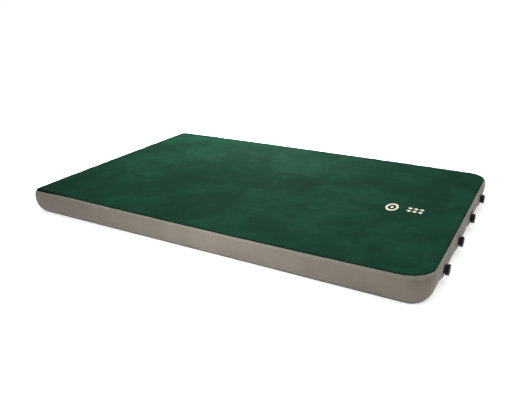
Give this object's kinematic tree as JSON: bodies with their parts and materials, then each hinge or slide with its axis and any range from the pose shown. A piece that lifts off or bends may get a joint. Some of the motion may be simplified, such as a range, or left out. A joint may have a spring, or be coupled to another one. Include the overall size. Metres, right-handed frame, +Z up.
{
  "type": "self-inflating sleeping pad",
  "caption": "Double-width self-inflating sleeping pad with box side walls, a foam core and screw-in flip-cap air valves along one short end.",
  "frame": {"origin": "centre of the pad's underside, where it rests on the floor", "axes": "+X along the pad's length towards the valve end, +Y across its width, +Z up"},
  "size_m": [2.0227, 1.3, 0.12],
  "materials": {
    "brushed_green_knit": "matte",
    "taupe_polyester": "matte",
    "seam_tape": "matte",
    "open_cell_foam": "matte",
    "black_nylon": "satin",
    "silicone": "matte",
    "steel_pin": "satin"
  },
  "bodies": {
    "mattress": {"top_sheet": "brushed_green_knit", "bottom_sheet": "taupe_polyester", "side_wall": "taupe_polyester", "wall_joint_tape": "seam_tape", "foam_core": "open_cell_foam", "valve_base_1": "black_nylon", "valve_base_2": "black_nylon", "valve_base_3": "black_nylon", "valve_base_4": "black_nylon"},
    "insert_carrier_1": {"insert_seal_1": "silicone"},
    "insert_1": {"valve_insert_1": "black_nylon", "cap_hinge_pin_1": "steel_pin"},
    "cap_1": {"valve_cap_1": "black_nylon", "cap_seal_1": "silicone"},
    "check_flap_1": {"membrane_1": "silicone"},
    "insert_carrier_2": {"insert_seal_2": "silicone"},
    "insert_2": {"valve_insert_2": "black_nylon", "cap_hinge_pin_2": "steel_pin"},
    "cap_2": {"valve_cap_2": "black_nylon", "cap_seal_2": "silicone"},
    "check_flap_2": {"membrane_2": "silicone"},
    "insert_carrier_3": {"insert_seal_3": "silicone"},
    "insert_3": {"valve_insert_3": "black_nylon", "cap_hinge_pin_3": "steel_pin"},
    "cap_3": {"valve_cap_3": "black_nylon", "cap_seal_3": "silicone"},
    "check_flap_3": {"membrane_3": "silicone"},
    "insert_carrier_4": {"insert_seal_4": "silicone"},
    "insert_4": {"valve_insert_4": "black_nylon", "cap_hinge_pin_4": "steel_pin"},
    "cap_4": {"valve_cap_4": "black_nylon", "cap_seal_4": "silicone"},
    "check_flap_4": {"membrane_4": "silicone"}
  },
  "joints": [
    {"name": "insert_travel_1", "type": "slide", "parent": "mattress", "child": "insert_carrier_1", "axis": [1, 0, 0], "range_m": [0, 0.009]},
    {"name": "insert_turn_1", "type": "hinge", "parent": "insert_carrier_1", "child": "insert_1", "pos_m": [1, -0.4155, 0.06], "axis": [1, 0, 0], "range_deg": [0, 540]},
    {"name": "cap_flip_1", "type": "hinge", "parent": "insert_1", "child": "cap_1", "pos_m": [1.0133, -0.3891, 0.06], "axis": [0, 0, 1], "range_deg": [0, 150]},
    {"name": "flap_lift_1", "type": "slide", "parent": "insert_1", "child": "check_flap_1", "axis": [-1, 0, 0], "range_m": [0, 0.0025], "stiffness_N_per_m": 5},
    {"name": "insert_travel_2", "type": "slide", "parent": "mattress", "child": "insert_carrier_2", "axis": [1, 0, 0], "range_m": [0, 0.009]},
    {"name": "insert_turn_2", "type": "hinge", "parent": "insert_carrier_2", "child": "insert_2", "pos_m": [1, -0.1385, 0.06], "axis": [1, 0, 0], "range_deg": [0, 540]},
    {"name": "cap_flip_2", "type": "hinge", "parent": "insert_2", "child": "cap_2", "pos_m": [1.0133, -0.1121, 0.06], "axis": [0, 0, 1], "range_deg": [0, 150]},
    {"name": "flap_lift_2", "type": "slide", "parent": "insert_2", "child": "check_flap_2", "axis": [-1, 0, 0], "range_m": [0, 0.0025], "stiffness_N_per_m": 5},
    {"name": "insert_travel_3", "type": "slide", "parent": "mattress", "child": "insert_carrier_3", "axis": [1, 0, 0], "range_m": [0, 0.009]},
    {"name": "insert_turn_3", "type": "hinge", "parent": "insert_carrier_3", "child": "insert_3", "pos_m": [1, 0.1385, 0.06], "axis": [1, 0, 0], "range_deg": [0, 540]},
    {"name": "cap_flip_3", "type": "hinge", "parent": "insert_3", "child": "cap_3", "pos_m": [1.0133, 0.1649, 0.06], "axis": [0, 0, 1], "range_deg": [0, 150]},
    {"name": "flap_lift_3", "type": "slide", "parent": "insert_3", "child": "check_flap_3", "axis": [-1, 0, 0], "range_m": [0, 0.0025], "stiffness_N_per_m": 5},
    {"name": "insert_travel_4", "type": "slide", "parent": "mattress", "child": "insert_carrier_4", "axis": [1, 0, 0], "range_m": [0, 0.009]},
    {"name": "insert_turn_4", "type": "hinge", "parent": "insert_carrier_4", "child": "insert_4", "pos_m": [1, 0.4155, 0.06], "axis": [1, 0, 0], "range_deg": [0, 540]},
    {"name": "cap_flip_4", "type": "hinge", "parent": "insert_4", "child": "cap_4", "pos_m": [1.0133, 0.4419, 0.06], "axis": [0, 0, 1], "range_deg": [0, 150]},
    {"name": "flap_lift_4", "type": "slide", "parent": "insert_4", "child": "check_flap_4", "axis": [-1, 0, 0], "range_m": [0, 0.0025], "stiffness_N_per_m": 5}
  ],
  "couplings": [
    {"joint": "insert_travel_1", "follows": "insert_turn_1", "m_per_rad": 0.00095493},
    {"joint": "insert_travel_2", "follows": "insert_turn_2", "m_per_rad": 0.00095493},
    {"joint": "insert_travel_3", "follows": "insert_turn_3", "m_per_rad": 0.00095493},
    {"joint": "insert_travel_4", "follows": "insert_turn_4", "m_per_rad": 0.00095493}
  ]
}
